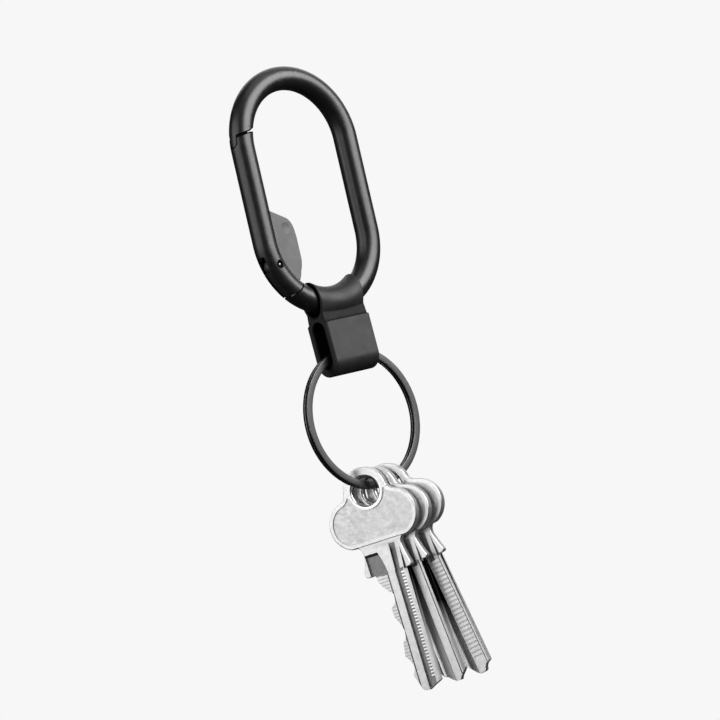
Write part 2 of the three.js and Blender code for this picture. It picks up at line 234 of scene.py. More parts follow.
def prism(name, outline, low, high, place=on_xz, edge=0, steps=3):
    """An outline's prism between two heights. edge rounds its rims, or flares them if negative."""
    if area(outline) < 0:
        outline = outline[::-1]
    rims = [(0, 0)]
    if edge:
        turns = [math.pi / 2 * i / steps for i in range(steps + 1)]
        rims = [(abs(edge) * (1 - math.cos(t)), -edge * (1 - math.sin(t))) for t in turns]
    below = [(low + h, d) for h, d in rims]
    above = [(high - h, d) for h, d in reversed(rims)]
    rings = []
    for height, inset in below + above:
        shape = offset(outline, inset) if inset else outline
        rings.append([place(*p, height) for p in shape])
    return loft(name, rings)


def turned(name, profile, sides=48):
    """A body turned about Z from a profile of radii and heights that starts and ends on the axis."""
    inner = profile[1:-1]
    rings = []
    for r, z in inner:
        angles = [2 * math.pi * i / sides for i in range(sides)]
        rings.append([Vector((r * math.cos(a), r * math.sin(a), z)) for a in angles])
    return loft(name, rings)


def cylinder_y(name, centre, radius, half, sides=96):
    outline = arc((centre.x, centre.z), radius, 0, 360 * (1 - 1 / sides), sides - 1)
    return prism(name, outline, -half, half)


def moved(obj, matrix):
    obj.data.transform(matrix)
    return obj


def combine(obj, tool, operation):
    modifier = obj.modifiers.new("shape", "BOOLEAN")
    modifier.object = tool
    modifier.operation = operation
    modifier.solver = "EXACT"
    modifier.material_mode = "TRANSFER"
    bpy.context.view_layer.update()
    shaped = obj.evaluated_get(bpy.context.evaluated_depsgraph_get())
    mesh = bpy.data.meshes.new_from_object(shaped)
    obj.modifiers.clear()
    obj.data = mesh
    bpy.data.objects.remove(tool)
    return obj


def cut(obj, *tools):
    for tool in tools:
        combine(obj, tool, "DIFFERENCE")
    return obj


def painted(obj, material, walls=None, slope=0.5):
    """The body in one material, with its walls, the faces steeper than the slope, in another."""
    obj.data.materials.append(material)
    if walls:
        obj.data.materials.append(walls)
        for face in obj.data.polygons:
            face.material_index = int(abs(face.normal.z) < slope)
    return obj


def finished(obj, name, body, replaced, materials, sharp=35):
    """The piece at its real size, smooth but for its edges, riding on its body."""
    obj.name = name
    obj.data.transform(Matrix.Scale(MM, 4))
    if materials:
        obj.data.materials.clear()
    for one in materials:
        obj.data.materials.append(one)
    obj.data.shade_smooth()
    obj.data.set_sharp_from_angle(angle=math.radians(sharp))
    weighted = obj.modifiers.new("normals", "WEIGHTED_NORMAL")
    weighted.keep_sharp = True
    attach(obj, body)
    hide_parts(replaced)
    return obj


# ---- Materials ----
def new_material(name, colour, metallic, roughness):
    made = bpy.data.materials.new(name)
    made.use_nodes = True
    shader = made.node_tree.nodes["Principled BSDF"]
    shader.inputs["Base Color"].default_value = (*colour, 1)
    shader.inputs["Metallic"].default_value = metallic
    shader.inputs["Roughness"].default_value = roughness
    return made, made.node_tree, shader


def noise_of(tree, size, detail=3):
    """Noise with features of about this size, in millimetres."""
    place = tree.nodes.new("ShaderNodeTexCoord")
    scaled = tree.nodes.new("ShaderNodeMapping")
    scaled.inputs["Scale"].default_value = [1 / (size * MM)] * 3
    noise = tree.nodes.new("ShaderNodeTexNoise")
    noise.inputs["Scale"].default_value = 1
    noise.inputs["Detail"].default_value = detail
    tree.links.new(place.outputs["Object"], scaled.inputs["Vector"])
    tree.links.new(scaled.outputs["Vector"], noise.inputs["Vector"])
    return noise.outputs["Fac"]


def spread(tree, factor, low, high, start=0.3, end=0.7):
    ramp = tree.nodes.new("ShaderNodeMapRange")
    ramp.inputs["From Min"].default_value = start
    ramp.inputs["From Max"].default_value = end
    ramp.inputs["To Min"].default_value = low
    ramp.inputs["To Max"].default_value = high
    tree.links.new(factor, ramp.inputs["Value"])
    return ramp.outputs["Result"]


def tint(tree, shader, factor, dark, light):
    mix = tree.nodes.new("ShaderNodeMix")
    mix.data_type = "RGBA"
    mix.inputs["A"].default_value = (*dark, 1)
    mix.inputs["B"].default_value = (*light, 1)
    tree.links.new(factor, mix.inputs["Factor"])
    tree.links.new(mix.outputs["Result"], shader.inputs["Base Color"])


def grain(tree, shader, factor, depth):
    """A bump of about this depth, in millimetres."""
    bump = tree.nodes.new("ShaderNodeBump")
    bump.inputs["Distance"].default_value = depth * MM
    tree.links.new(factor, bump.inputs["Height"])
    tree.links.new(bump.outputs["Normal"], shader.inputs["Normal"])


def grey(value, warmth=0.0):
    return (value * (1 + warmth), value, value * (1 - warmth))


def coated_metal(name, value, roughness, depth=0.0012, shine=0.6):
    made, tree, shader = new_material(name, grey(value), 0.0, roughness)
    fine, broad = noise_of(tree, 0.12), noise_of(tree, 6)
    tint(tree, shader, spread(tree, broad, 0, 1), grey(value * 0.85), grey(value * 1.2))
    worn = spread(tree, noise_of(tree, 1.5, 4), roughness - 0.03, roughness + 0.05)
    tree.links.new(worn, shader.inputs["Roughness"])
    grain(tree, shader, fine, depth)
    shader.inputs["Specular IOR Level"].default_value = shine
    return made


def soft_plastic(name, value, roughness, shine):
    made, tree, shader = new_material(name, grey(value), 0.0, roughness)
    tint(tree, shader, spread(tree, noise_of(tree, 0.25), 0, 1), grey(value * 0.9), grey(value * 1.12))
    rough = spread(tree, noise_of(tree, 3), roughness - 0.05, roughness + 0.05)
    tree.links.new(rough, shader.inputs["Roughness"])
    grain(tree, shader, noise_of(tree, 0.16, 2), 0.01)
    shader.inputs["Specular IOR Level"].default_value = shine
    return made


def plated_metal(name, low, high, roughness, size, depth, metallic=1.0):
    made, tree, shader = new_material(name, grey(high), metallic, roughness)
    cloud = noise_of(tree, size, 5)
    tint(tree, shader, spread(tree, cloud, 0, 1), grey(low), grey(high))
    rough = spread(tree, noise_of(tree, size * 0.6, 4), roughness - 0.05, roughness + 0.05)
    tree.links.new(rough, shader.inputs["Roughness"])
    grain(tree, shader, noise_of(tree, size * 0.5, 4), depth)
    return made


def shadow_faded_metal(name, dark, light, high, low):
    """Metal with a painted shadow, going from dark to light between two heights, in millimetres."""
    made, tree, shader = new_material(name, grey(light), 1.0, 0.5)
    place = tree.nodes.new("ShaderNodeTexCoord")
    parts = tree.nodes.new("ShaderNodeSeparateXYZ")
    tree.links.new(place.outputs["Object"], parts.inputs["Vector"])
    fade = spread(tree, parts.outputs["Z"], 0, 1, high * MM, low * MM)
    tint(tree, shader, fade, grey(dark), grey(light))
    return made


BLACK_COAT = coated_metal("satin_black_coat", 0.005, 0.34)
# Dull black with little shine: painted shade on the faces of the cuts and splits, and the rivet's dark
# rim.
DULL_BLACK_AND_SHADE = coated_metal("dull_black_and_painted_shade", 0.002, 0.7, 0.001, 0.08)
GREY_COAT = coated_metal("matte_grey_coat", 0.06, 0.5, 0.006, 0.5)
RING_COAT = coated_metal("ring_black_coat", 0.008, 0.4, 0.001, 0.5)
# Painted shade: a darker, duller copy of the ring's coat for its radial walls.
RING_WALL_SHADE = coated_metal("ring_wall_painted_shade", 0.004, 0.4, 0.001, 0.14)
# Painted highlight along the ring's rounded corners.
RING_EDGE_HIGHLIGHT = plated_metal("ring_edge_painted_highlight", 0.16, 0.26, 0.35, 0.8, 0.001)
SOFT_BLACK = soft_plastic("soft_black_plastic", 0.011, 0.5, 0.34)
# Painted shade: a darker, duller copy of the keeper's plastic for the crease, the bore and the slot.
SOFT_SHADE = soft_plastic("soft_black_crease_painted_shade", 0.006, 0.6, 0.14)
STEEL = plated_metal("pin_steel", 0.4, 0.5, 0.34, 0.4, 0.002)
# Painted glint: lighter grey metal on the hinge lug, for the lit patch in the slot and the glint at
# the lower split.
LUG_GLINT_METAL = plated_metal("lug_painted_glint", 0.08, 0.14, 0.45, 0.6, 0.002)
SPRING_WIRE = plated_metal("spring_wire", 0.5, 0.6, 0.25, 0.4, 0.002)
KEY_FACE = plated_metal("key_nickel", 0.64, 0.76, 0.36, 1.2, 0.003)
KEY_RIM = plated_metal("key_rim", 0.69, 0.75, 0.36, 1.2, 0.001)
# Painted shade: a darker copy of the key metal for the bows' and holes' walls.
KEY_WALL_SHADE = plated_metal("key_wall_painted_shade", 0.52, 0.62, 0.42, 1.2, 0.0006)
# Painted highlight: a brighter copy of the key metal for the hole's flared rim and the rungs.
KEY_EDGE_HIGHLIGHT = plated_metal("key_edge_painted_highlight", 0.86, 0.92, 0.3, 1.2, 0.001)
KEY_PANEL = plated_metal("key_cast_panel", 0.54, 0.72, 0.42, 1.6, 0.03)
# Painted shade: a darker copy of the key metal for slopes, panel walls and cut faces.
KEY_SHADE = plated_metal("key_slope_painted_shade", 0.5, 0.6, 0.45, 0.8, 0.002)
# Painted shadow: dark key metal for the window's recessed floor.
KEY_SHADOW = plated_metal("key_recess_painted_shadow", 0.24, 0.3, 0.5, 0.8, 0.003)
# Painted shade: dark key metal for the grooves and recess walls.
KEY_GROOVE_SHADE = plated_metal("key_groove_painted_shade", 0.25, 0.35, 0.5, 0.8, 0.003)
# Painted shadow down the blades: near black high up, fading to light metal lower down.
KEY_FADING_SHADOW = shadow_faded_metal("key_painted_shadow_fade", 0.01, 0.6, -125, -144)
# Painted shadow in the gap between the second and third keys, dark at the top and fading lower down.
KEY_GAP_SHADOW = shadow_faded_metal("key_gap_painted_shadow", 0.005, 0.6, -133, -143)  # between the second and third keys


# ---- The rod's centreline: distance along it from the top's middle, clockwise from the front ----
BEND_LENGTH = BEND_R * math.pi / 2
LAP = 2 * STRAIGHT + 4 * BEND_LENGTH
PIN_ANGLE = math.asin((LOW.z - PIN.z) / BEND_R)
AT_PIN = LAP - (BEND_LENGTH + STRAIGHT + PIN_ANGLE * BEND_R)
AT_NOSE = LAP - (BEND_LENGTH - NOSE_ANGLE * BEND_R)
RING_SPACING = math.radians(2)


def rod_point(distance):
    left = distance % LAP
    for length, centre, angle in (
        (BEND_LENGTH, HIGH_Z, 90), (STRAIGHT, None, 1), (2 * BEND_LENGTH, LOW.z, 0),
        (STRAIGHT, None, -1), (BEND_LENGTH, HIGH_Z, 180),
    ):
        if left > length:
            left -= length
            continue
        if centre is None:
            return Vector((BEND_R * angle, 0, HIGH_Z - left if angle > 0 else LOW.z + left))
        turn = math.radians(angle) - left / BEND_R
        return Vector((BEND_R * math.cos(turn), 0, centre + BEND_R * math.sin(turn)))
    return Vector((0, 0, HIGH_Z + BEND_R))


def rod_along(distance):
    small = 1e-3
    return (rod_point(distance + small) - rod_point(distance - small)).normalized()


def stations(start, end):
    """Distances along the rod where its skin needs a ring: close together in the bends only."""
    marks = []
    for lap in (-1, 0, 1):
        low = lap * LAP
        for length, bent in (
            (BEND_LENGTH, True), (STRAIGHT, False), (2 * BEND_LENGTH, True),
            (STRAIGHT, False), (BEND_LENGTH, True),
        ):
            steps = round(length / BEND_R / RING_SPACING) if bent else 4
            marks += [low + length * i / steps for i in range(steps)]
            low += length
    return [start] + [m for m in marks if start + 0.05 < m < end - 0.05] + [end]


def rod(name, start, end, sides=64):
    rings = []
    for distance in stations(start, end):
        centre, along = rod_point(distance), rod_along(distance)
        across = along.cross(Y)
        angles = [2 * math.pi * i / sides for i in range(sides)]
        rings.append([centre + ROD_R * (math.cos(a) * across + math.sin(a) * Y) for a in angles])
    return loft(name, rings)


# ---- Carabiner ----
NOSE = Vector((-BEND_R * math.cos(NOSE_ANGLE), 0, HIGH_Z + BEND_R * math.sin(NOSE_ANGLE)))


def nose_side(sign, lower):
    reach, far = 8, 14

    def edge(x):
        return NOSE.z + NOSE_SLOPE * (x - NOSE.x) - lower

    a, b = NOSE.x - reach, NOSE.x + reach
    outline = [(a, edge(a)), (b, edge(b)), (b, edge(b) + sign * far), (a, edge(a) + sign * far)]
    return prism("nose_side", outline, -ROD_R - 1, ROD_R + 1)


def latch(grow):
    half = LATCH_HALF + grow
    foot = NOSE.z - LATCH_LENGTH + LATCH_HALF
    outline = [(half, NOSE.z + 1), (-half, NOSE.z + 1)] + arc((0, foot), half, 180, 360, 24)
    return prism("latch", outline, NOSE.x - ROD_R - 1, LATCH_DEPTH - BEND_R - ROD_R + grow, on_yz)


def nose_bevel(sign, lower):
    """A three-sided ring that takes the edge off one side of the nose split."""
    tilt = math.atan(NOSE_SLOPE)
    stretch = 1 / math.cos(NOSE_ANGLE + tilt)
    (deep, rise), past, sides = NOSE_CHAMFER, 0.6, 72
    top = rise * (1 + past / deep)
    rings = []
    for i in range(sides):
        a = 2 * math.pi * i / sides
        ring = []
        for r, up in ((ROD_R - deep, -0.05), (ROD_R + past, -0.05), (ROD_R + past, top)):
            ring.append(Vector((r * stretch * math.cos(a), r * math.sin(a), sign * up)))
        rings.append(ring)
    tool = loft("nose_bevel", rings, closed=True)
    return moved(tool, Matrix.Translation(NOSE - Z * lower) @ Matrix.Rotation(-tilt, 4, "Y"))


def lug():
    flat = math.degrees(math.acos(LUG_FLAT / LUG_R))
    eye = arc((PIN.x, PIN.z), LUG_R, 90 + flat, 450 - flat, 60)
    start, end = 180 + math.degrees(PIN_ANGLE) + 2, 180 + 52
    inner = arc((LOW.x, LOW.z), NECK[0], start, end, 20)
    outer = arc((LOW.x, LOW.z), NECK[1], end, start, 20)
    # The lug in the lighter metal of the painted glint.
    body = painted(prism("lug", eye, -LUG_HALF, LUG_HALF, edge=0.15), LUG_GLINT_METAL)
    neck = painted(prism("neck", inner + outer, -LUG_HALF, LUG_HALF), LUG_GLINT_METAL)
    return combine(body, neck, "UNION")


def carabiner_rod():
    body = painted(rod("carabiner_rod", AT_NOSE - LAP - 6, AT_PIN - 5), BLACK_COAT)
    # The cut faces get painted shade.
    under = cut(painted(nose_side(-1, 0), DULL_BLACK_AND_SHADE), painted(latch(0), DULL_BLACK_AND_SHADE))
    room = painted(cylinder_y("room", PIN, GATE_END_R + HINGE_GAP, ROD_R + 1), DULL_BLACK_AND_SHADE)
    cut(body, under, room, cut(painted(nose_bevel(1, 0), DULL_BLACK_AND_SHADE), painted(latch(0.05), DULL_BLACK_AND_SHADE)))
    combine(body, lug(), "UNION")
    cut(body, painted(cylinder_y("hole", PIN, PIN_R + 0.12, LUG_HALF + 1, 48), DULL_BLACK_AND_SHADE))
    return finished(body, "carabiner_rod", "frame", "carabiner_frame", [])


def lug_room():
    r = LUG_R + 0.25
    corners = [(-7, r), (0, r), (1.2, 0.5), (1.9, -1.6), (7.3, -5.45), (7.3, -14), (-7, -14)]
    outline = [(PIN.x + x, PIN.z + z) for x, z in corners]
    room = prism("lug_room", outline, -SLOT_HALF, SLOT_HALF)
    return combine(room, cylinder_y("round", PIN, r, SLOT_HALF, 48), "UNION")


def tab_outline(grow):
    inner = -(BEND_R - ROD_R) - 0.4 - grow
    deep = inner - 0.5
    top = HIGH_Z - STRAIGHT / 2  # the middle height of the oval
    x = TAB_X + grow

    def at(dx, dz):
        return (dx, top + dz)

    outline = [at(deep, -11.4 - grow), at(deep, -4.7 + grow), at(-13.4, -4.15 + grow)]
    outline.append(at(-9.4 + grow, -6.1 + grow))
    outline += curve(outline[-1], at(-7.6 + grow, -6.9 + grow), at(-7.2 + grow, -9), 10)
    outline += curve(outline[-1], at(x, -10.5), at(x, -12.5), 6)
    outline.append(at(x, -16.4))
    outline += curve(outline[-1], at(x, -18), at(-7.6 + grow, -19.6), 8)
    outline += arc((PIN.x, PIN.z), GATE_END_R - 0.05 + grow, -14, -33, 12)
    outline += arc((LOW.x, LOW.z), -inner, 180 + 44, 180, 24)
    outline.append(at(inner, -11.4 - grow))
    return outline


def gate_rod():
    body = painted(rod("gate_rod", AT_PIN - 13, AT_NOSE + 5), BLACK_COAT)
    low = PIN.z - ROD_R
    corners = [(-22, low), (0, low), (0, low - 14), (-22, low - 14)]
    beyond = prism("beyond", corners, -ROD_R - 1, ROD_R + 1)
    cut(beyond, cylinder_y("round", PIN, GATE_END_R, ROD_R + 2))
    cuts = [nose_side(1, NOSE_GAP), beyond, nose_bevel(-1, NOSE_GAP), latch(0.28), lug_room()]
    # The cut faces get painted shade.
    cut(body, *(painted(tool, DULL_BLACK_AND_SHADE) for tool in cuts))
    bore = turned("bore", [(0, 0), (BORE_R, 0), (BORE_R, 11.2), (0.1, 11.8), (0, 11.8)], 40)
    cut(body, moved(bore, Matrix.Translation((BORE_X, 0, PIN.z + 1.6))))
    cut(body, prism("tab_slot", tab_outline(0.15), -TAB_HALF - 0.12, TAB_HALF + 0.12))
    cut(body, cylinder_y("hole", PIN, PIN_R + 0.12, ROD_R + 1, 48))
    for side in (-1, 1):
        sink = turned("sink", [(0, -0.6), (PIN_R - 0.1, -0.6), (PIN_R + 0.55, 0.6), (0, 0.6)], 48)
        turn = Matrix.Rotation(math.radians(-90 * side), 4, "X")
        cut(body, moved(sink, Matrix.Translation(PIN + Y * side * (ROD_R - 0.15)) @ turn))
    return finished(body, "gate_rod", "gate", "gate", [])


def thumb_tab():
    body = prism("thumb_tab", tab_outline(0), -TAB_HALF, TAB_HALF, edge=0.18)
    centre = Vector((-9.7, -TAB_HALF, HIGH_Z - STRAIGHT / 2 - 8.9))
    turns = [math.pi / 2 * i / 8 for i in range(9)]
    bowl = [(DIMPLE_R * t / (math.pi / 2), -DIMPLE_DEPTH * math.cos(t)) for t in turns]
    dish = turned("dish", bowl + [(DIMPLE_R, 0.3), (0, 0.3)], 48)
    cut(body, moved(dish, Matrix.Translation(centre) @ Matrix.Rotation(math.pi / 2, 4, "X")))
    return finished(body, "thumb_tab", "gate", "gate_tab", [GREY_COAT])


def pin():
    half = node_box("hinge_pin")[1].y
    end = [(PIN_R, half - 0.3), (PIN_R - 0.05, half - 0.22), (PIN_R - 0.14, half - 0.2),
           (PIN_R - 0.22, half - 0.3), (0.38, half - 0.34), (0.34, half - 0.2), (0.24, half - 0.06),
           (0.1, half), (0, half)]
    start = [(x, -z) for x, z in reversed(end)]
    body = turned("hinge_rivet", start + end, 48)
    # The rivet's centre in steel, its rim in the dull black.
    for one in (STEEL, DULL_BLACK_AND_SHADE):
        body.data.materials.append(one)
    for face in body.data.polygons:
        face.material_index = int(face.center.xy.length > 0.37)
    moved(body, Matrix.Translation(PIN) @ Matrix.Rotation(math.pi / 2, 4, "X"))
    return finished(body, "hinge_rivet", "frame", "hinge_pin", [])


def plunger():
    low, high = node_box("spring_plunger")
    r, length = high.y, high.z - low.z
    profile = [(0, 0), (r - 0.2, 0), (r - 0.05, 0.06), (r, 0.2), (r, length - 1.06),
               (r - 0.06, length - 1), (0.5, length - 1), (0.5, length - 0.1),
               (0.4, length), (0, length)]
    body = moved(turned("spring_foot", profile, 40), Matrix.Translation((BORE_X, 0, low.z)))
    return finished(body, "spring_foot", "plunger", "spring_plunger", [STEEL])


def coil_spring():
    low, high = node_box("gate_spring")
    wire, turns, around, sides = 0.17, 8, 40, 12
    radius = (high.x - low.x) / 2 - wire
    length = high.z - low.z - 2 * wire
    centre = Vector((BORE_X, 0, low.z + wire))
    rings = []
    for i in range(turns * around + 1):
        a = 2 * math.pi * i / around
        out = Vector((math.cos(a), math.sin(a), 0))
        along = Vector((-math.sin(a), math.cos(a), length / turns / (2 * math.pi * radius)))
        up = out.cross(along.normalized())
        middle = centre + out * radius + Z * (length * i / (turns * around))
        angles = [2 * math.pi * k / sides for k in range(sides)]
        rings.append([middle + wire * (math.cos(t) * out + math.sin(t) * up) for t in angles])
    coil = loft("gate_coil", rings)
    body = finished(coil, "gate_coil", "gate", "gate_spring", [SPRING_WIRE])
    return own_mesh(body)


# ---- Keeper loop ----
def smooth(value, start, end):
    t = min(1, max(0, (value - start) / (end - start)))
    return t * t * (3 - 2 * t)


def keeper_point(y, depth, x):
    """A point at this depth under the bend's centre. Rows bend round it above the crease only."""
    bent = 1 - smooth(depth, WAIST[1] - 1.4, CREASE - 0.2)
    return Vector((x, y, -math.sqrt(depth * depth - bent * x * x)))


def keeper_outline():
    """Half the loop's end view, as half thicknesses and depths, and where in it the crease is, whose
    faces get painted shade.
    """
    side = arc((0, BEND_R), SADDLE_R, -90, 40, 44)
    first = len(side) - 1
    half, depth = WAIST
    side += [(half - 0.2, depth + 0.7), (half - 0.1, depth + 1.1), (half, CREASE - 0.7)]
    side += [(half + 0.08, CREASE - 0.35), (half + 0.05, CREASE - 0.05)]
    side.append((KEEPER_SIDE, CREASE + 0.3))
    crease = range(first, len(side) - 1)
    side += [(KEEPER_SIDE, CREASE + 3 * k) for k in (1, 2, 3)]
    side += arc((0, KEEPER_BOTTOM - KEEPER_SIDE), KEEPER_SIDE, 0, 90, 24)
    return side, crease


def keeper():
    side, crease = keeper_outline()
    outline = side + [(-y, d) for y, d in reversed(side[1:-1])]
    half, edge, steps = KEEPER_HALF, 0.4, 5
    turns = [math.pi / 2 * i / steps for i in range(steps + 1)]
    rims = [(-half + edge * (1 - math.cos(t)), -edge * (1 - math.sin(t))) for t in turns]
    middle = [(half * i / 8, 0) for i in range(-7, 8)]
    stops = rims + middle + [(-x, d) for x, d in reversed(rims)]
    rings = [[keeper_point(*p, x) for p in offset(outline, d)] for x, d in stops]
    body = loft("keeper", rings)
    # The faces round the crease, below the saddle, get painted shade; the rest is soft black.
    for one in (SOFT_BLACK, SOFT_SHADE):
        body.data.materials.append(one)
    around = len(outline)
    for face in body.data.polygons[:-2]:
        place = face.index % around
        face.material_index = int(place in crease or around - 1 - place in crease)
    holes = []
    bore = arc((0, BEND_R), ROD_R + 0.3, 0, 357, 59)
    a, b = RING_SLOT[0] + RING_SLOT_R, RING_SLOT[1] - RING_SLOT_R
    slot = arc((0, a), RING_SLOT_R, 180, 360, 24) + arc((0, b), RING_SLOT_R, 0, 180, 24)
    for shape in (bore, slot):
        flare = [(-half - 0.5, 0.9), (-half, edge), (-half + 0.1, 0.22), (-half + 0.25, 0.07)]
        flare.append((-half + edge, 0))
        stops = flare + middle + [(-x, d) for x, d in reversed(flare)]
        ordered = shape if area(shape) > 0 else shape[::-1]
        hole = loft("hole", [[keeper_point(*p, x) for p in offset(ordered, d)] for x, d in stops])
        # The bore's and slot's walls get painted shade.
        holes.append(painted(hole, SOFT_SHADE))
    cut(body, *holes)
    moved(body, Matrix.Translation(LOW) @ Matrix.Rotation(-KEEPER_LEAN, 4, "Y"))
    return finished(body, "keeper", "keeper", "keeper_loop", [], 50)


# ---- Split ring ----
def split_ring():
    low, high = node_box("split_ring")
    centre = (low + high) / 2
    cross, edge, steps = math.radians(13), 0.2, 640
    a, b = RING_TURN / 2, RING_WIDTH / 2
    section = []
    for sx, sy, start in ((1, 1, 0), (-1, 1, 90), (-1, -1, 180), (1, -1, 270)):
        section += arc((sx * (a - edge), sy * (b - edge)), edge, start, start + 90, 4)
    rings = []
    for i in range(steps + 1):
        travel = cross + (4 * math.pi - 2 * cross) * i / steps
        across = smooth(travel, 2 * math.pi - cross, 2 * math.pi + cross) - 0.5
        turn = math.pi / 2 + travel
        out = Vector((math.cos(turn), 0, math.sin(turn)))
        middle = centre + out * RING_R + Y * RING_STEP * across
        rings.append([middle + Y * u + out * v for u, v in section])
    body = loft("flat_wire_ring", rings)
    for one in (RING_COAT, RING_EDGE_HIGHLIGHT, RING_WALL_SHADE):
        body.data.materials.append(one)
    # Flat faces in the coat, rounded corners in painted highlight, radial walls in painted shade.
    for face in body.data.polygons:
        flat = abs(face.normal.y)
        face.material_index = int(flat < 0.9) + int(flat < 0.35)
    yaw = Matrix.Rotation(RING_YAW, 4, "Z")
    moved(body, Matrix.Translation(centre + X * RING_SHIFT) @ yaw @ Matrix.Translation(-centre))
    return finished(body, "flat_wire_ring", "ring", "split_ring", [], 50)


# ---- Keys: x to the right of the face, y up, z out of it; the upper lobe's centre is the origin ----
LOBE_R = 5.76
EAR = Vector((5.7, -7.45))
EAR_R = 6.22
FILLET_R = 2.3
BOW_FOOT = -13.4
RUNG_PITCH = 0.83
TICK_PITCH = 1.14
HOLE = (0.15, -0.35)
HOLE_FLARE = 0.65
RIM_R = 4.65  # where the panel stops round the hole
NECK_HALF = BOW_HALF - 0.12
SHOULDERS = (-21.2, -20.4, -20.9)  # where each key's shoulders stop


def bow_outline(inset, steps=24):
    lobe, ear, fillet = LOBE_R - inset, EAR_R - inset, FILLET_R + inset
    reach = EAR.length
    along = ((lobe + fillet) ** 2 - (ear + fillet) ** 2 + reach ** 2) / (2 * reach)
    aside = math.sqrt((lobe + fillet) ** 2 - along ** 2)
    unit = EAR.normalized()
    c = Vector((unit.x * along - unit.y * aside, unit.y * along + unit.x * aside))
    on_lobe = math.degrees(math.atan2(c.y, c.x))
    on_ear = math.degrees(math.atan2(c.y - EAR.y, c.x - EAR.x))
    foot = math.degrees(math.asin(max(-1, (BOW_FOOT + inset - EAR.y) / ear)))
    right = arc(EAR, ear, foot, on_ear, steps)
    right += arc(c, fillet, on_ear + 180, on_lobe + 180, 10)[1:]
    right += arc((0, 0), lobe, on_lobe, 90, steps)[1:]
    return right + [(-x, y) for x, y in reversed(right[:-1])]


def neck_outline(foot):
    left = [(-7.2, BOW_FOOT + 0.8)]
    left += curve(left[-1], (-5.1, BOW_FOOT - 0.2), (-5.1, -15.6), 8)
    left += curve(left[-1], (-5.3, -17.5), (-6.2, foot + 1.6), 6)
    left += curve(left[-1], (-6.5, foot), (-5.7, foot), 5)
    right = [(5.6, foot), (6.2, foot + 0.1), (6.5, foot + 0.6)]
    right += curve(right[-1], (5.7, foot + 3.5), (5.4, -15.6), 6)
    right += curve(right[-1], (5.2, BOW_FOOT - 0.2), (7.5, BOW_FOOT + 0.8), 8)
    return left + [(-5.0, foot)] + right


def blade_outline(cuts, tip, foot):
    """The blade from its face, past its right side. cuts are depths and heights on the left."""
    points = [(MASK_RIGHT, foot + 2), (BLADE_LEFT, foot + 2)]
    return points + [(BLADE_LEFT + depth, y) for depth, y in cuts] + tip


# The blades' cross-sections: x and z, and the material of the skin from each point to the next.
BLADE_BACK = [
    (BLADE_LEFT - 1, -0.4, KEY_FACE), (-2.6, -0.95, KEY_FACE), (-0.6, -BLADE_HALF, KEY_SHADE),
    (-0.3, -0.3, KEY_GROOVE_SHADE), (0.9, -0.3, KEY_SHADE), (1.2, -BLADE_HALF, KEY_FACE),
    (3.4, -BLADE_HALF, KEY_FACE), (4.5, -0.95, KEY_FACE),
]
# In the fronts, the groove strips carry painted shade and the gap strips painted shadow.
BLADE_FRONTS = [
    [
        (BLADE_RIGHT, 0.9, KEY_FACE), (4.7, 0.96, KEY_FACE), (4.05, BLADE_HALF, KEY_GROOVE_SHADE),
        (3.98, 0.5, KEY_GROOVE_SHADE), (3.2, 0.45, KEY_GROOVE_SHADE), (3.1, 0.25, KEY_GROOVE_SHADE),
        (1.9, 0.25, KEY_GROOVE_SHADE), (1.75, BLADE_HALF, KEY_FACE), (-0.15, BLADE_HALF, KEY_SHADE),
        (-0.75, 0.45, KEY_FACE), (BLADE_LEFT - 1, 0.25, KEY_FACE),
    ],
    [
        (BLADE_RIGHT, 0.7, KEY_GAP_SHADOW), (4.5, 0.95, KEY_FACE), (3.95, BLADE_HALF, KEY_GROOVE_SHADE),
        (3.88, 0.6, KEY_GROOVE_SHADE), (3.7, 0.6, KEY_GROOVE_SHADE), (3.64, 0.88, KEY_FACE),
        (1.7, 0.88, KEY_SHADE), (1.3, 0.2, KEY_FADING_SHADOW), (-0.6, 0.1, KEY_FADING_SHADOW),
        (-1.0, 0.7, KEY_FACE), (BLADE_LEFT - 1, 0.3, KEY_FACE),
    ],
    [
        (BLADE_RIGHT, 0.93, KEY_SHADE), (4.8, BLADE_HALF, KEY_FACE), (4.5, BLADE_HALF, KEY_GROOVE_SHADE),
        (4.44, 0.6, KEY_GROOVE_SHADE), (4.3, 0.6, KEY_GROOVE_SHADE), (4.24, 0.84, KEY_FACE),
        (1.3, 0.95, KEY_GAP_SHADOW), (0.9, 0.2, KEY_GAP_SHADOW), (-0.6, 0.1, KEY_GAP_SHADOW),
        (-1.0, 0.7, KEY_FACE), (BLADE_LEFT - 1, 0.3, KEY_FACE),
    ],
]


# The blades' right sides: painted shadow on the first two keys, painted shade on the third.
BLADE_WALLS = [KEY_FADING_SHADOW, KEY_GAP_SHADOW, KEY_SHADE]  # their right sides


def blade(index, foot):
    section = BLADE_BACK + [(BLADE_RIGHT, -0.7, BLADE_WALLS[index])] + BLADE_FRONTS[index]
    ends = (-14.5, BLADE_TIP - 1)
    body = loft("blade", [[Vector((x, y, z)) for x, z, _ in section] for y in ends])
    kinds = [KEY_FACE, KEY_SHADE, KEY_GROOVE_SHADE, KEY_FADING_SHADOW, KEY_GAP_SHADOW]
    for kind in kinds:
        body.data.materials.append(kind)
    for face, (_, _, kind) in zip(body.data.polygons, section):
        face.material_index = kinds.index(kind)
    mask = prism("mask", blade_outline(KEY_CUTS[index], KEY_TIPS[index], foot), -2, 2, on_xy)
    return combine(body, painted(mask, KEY_FACE), "INTERSECT")


